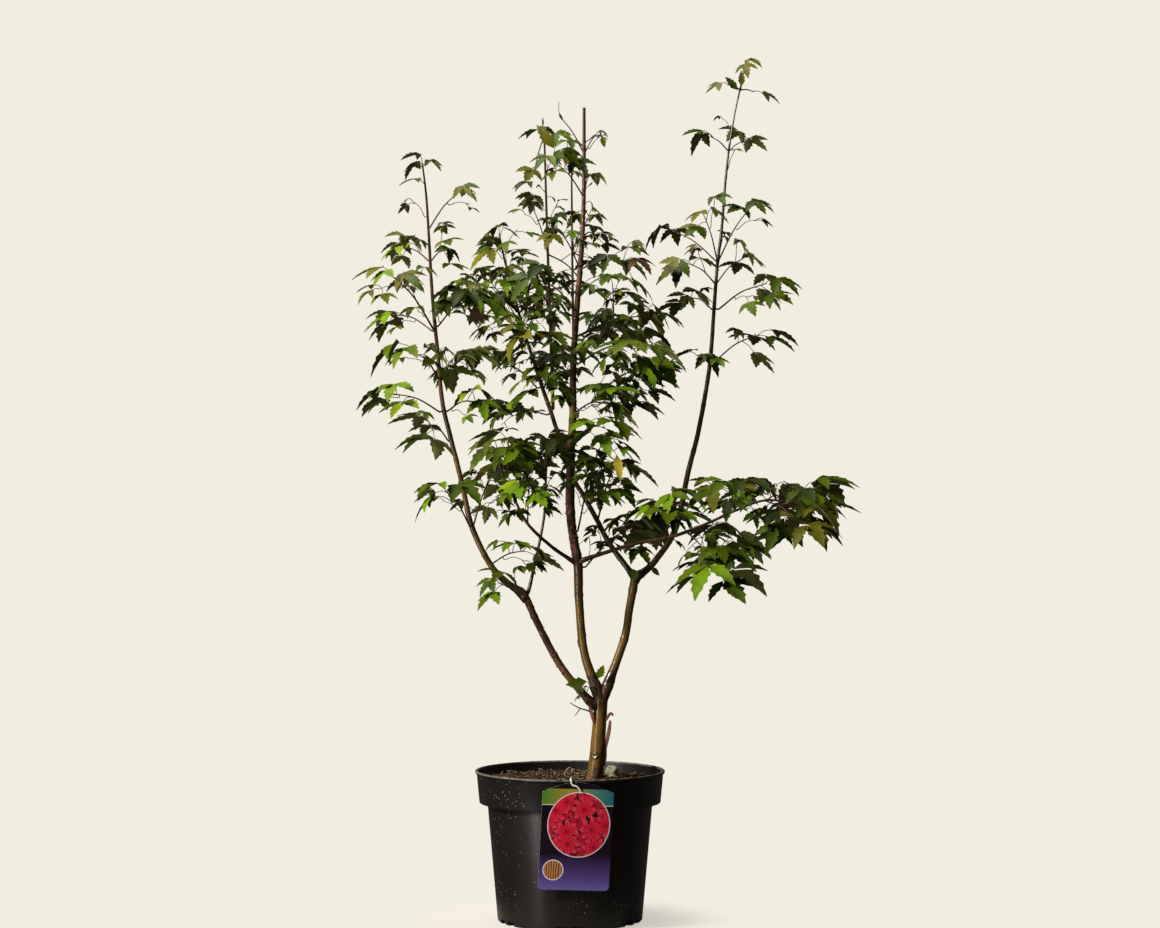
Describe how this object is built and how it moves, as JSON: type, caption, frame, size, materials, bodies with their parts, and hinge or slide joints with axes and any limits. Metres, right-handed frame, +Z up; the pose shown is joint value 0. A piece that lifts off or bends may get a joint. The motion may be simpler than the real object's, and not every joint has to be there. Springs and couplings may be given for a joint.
{
  "type": "potted paperbark maple",
  "caption": "Young multi-stemmed paperbark maple in leaf, standing in a black plastic nursery pot of compost with a hanging picture label.",
  "frame": {"origin": "centre of the pot's underside, on the ground", "axes": "+Z up along the pot's axis, +X to the right and -Y towards the viewer of the label"},
  "size_m": [0.6786, 0.3859, 1.1968],
  "materials": {
    "pot_plastic": "semi-gloss black",
    "compost": "loose, fibrous, damp",
    "label_card": "printed, gloss",
    "bark": "smooth to flaking, satin",
    "foliage": "leaf, soft sheen"
  },
  "bodies": {
    "root": {"pot": "pot_plastic", "soil": "compost", "plant_label": "label_card", "trunk": "bark", "left_stem_lower": "bark", "left_stem_upper": "bark", "centre_stem": "bark", "right_stem_lower": "bark", "right_stem_upper": "bark", "inner_stem": "bark", "right_low_bough": "bark", "left_low_bough": "bark", "knuckle_shoot": "bark", "centre_crown": "foliage", "centre_spray_1": "foliage", "centre_spray_10": "foliage", "centre_spray_2": "foliage", "centre_spray_3": "foliage", "centre_spray_4": "foliage", "centre_spray_5": "foliage", "centre_spray_6": "foliage", "centre_spray_7": "foliage", "centre_spray_8": "foliage", "centre_spray_9": "foliage", "fork_spray": "foliage", "inner_crown": "foliage", "inner_spray_1": "foliage", "inner_spray_2": "foliage", "inner_spray_3": "foliage", "inner_spray_4": "foliage", "knuckle_end": "foliage", "left_crown": "foliage", "left_spray_1": "foliage", "left_spray_10": "foliage", "left_spray_11": "foliage", "left_spray_12": "foliage", "left_spray_2": "foliage", "left_spray_3": "foliage", "left_spray_4": "foliage", "left_spray_5": "foliage", "left_spray_6": "foliage", "left_spray_7": "foliage", "left_spray_8": "foliage", "left_spray_9": "foliage", "low_left_end": "foliage", "low_right_1": "foliage", "low_right_2": "foliage", "low_right_3": "foliage", "low_right_4": "foliage", "low_right_end": "foliage", "right_crown": "foliage", "right_spray_1": "foliage", "right_spray_2": "foliage", "right_spray_3": "foliage", "right_spray_4": "foliage", "upright_1": "foliage", "upright_2": "foliage"}
  },
  "joints": []
}
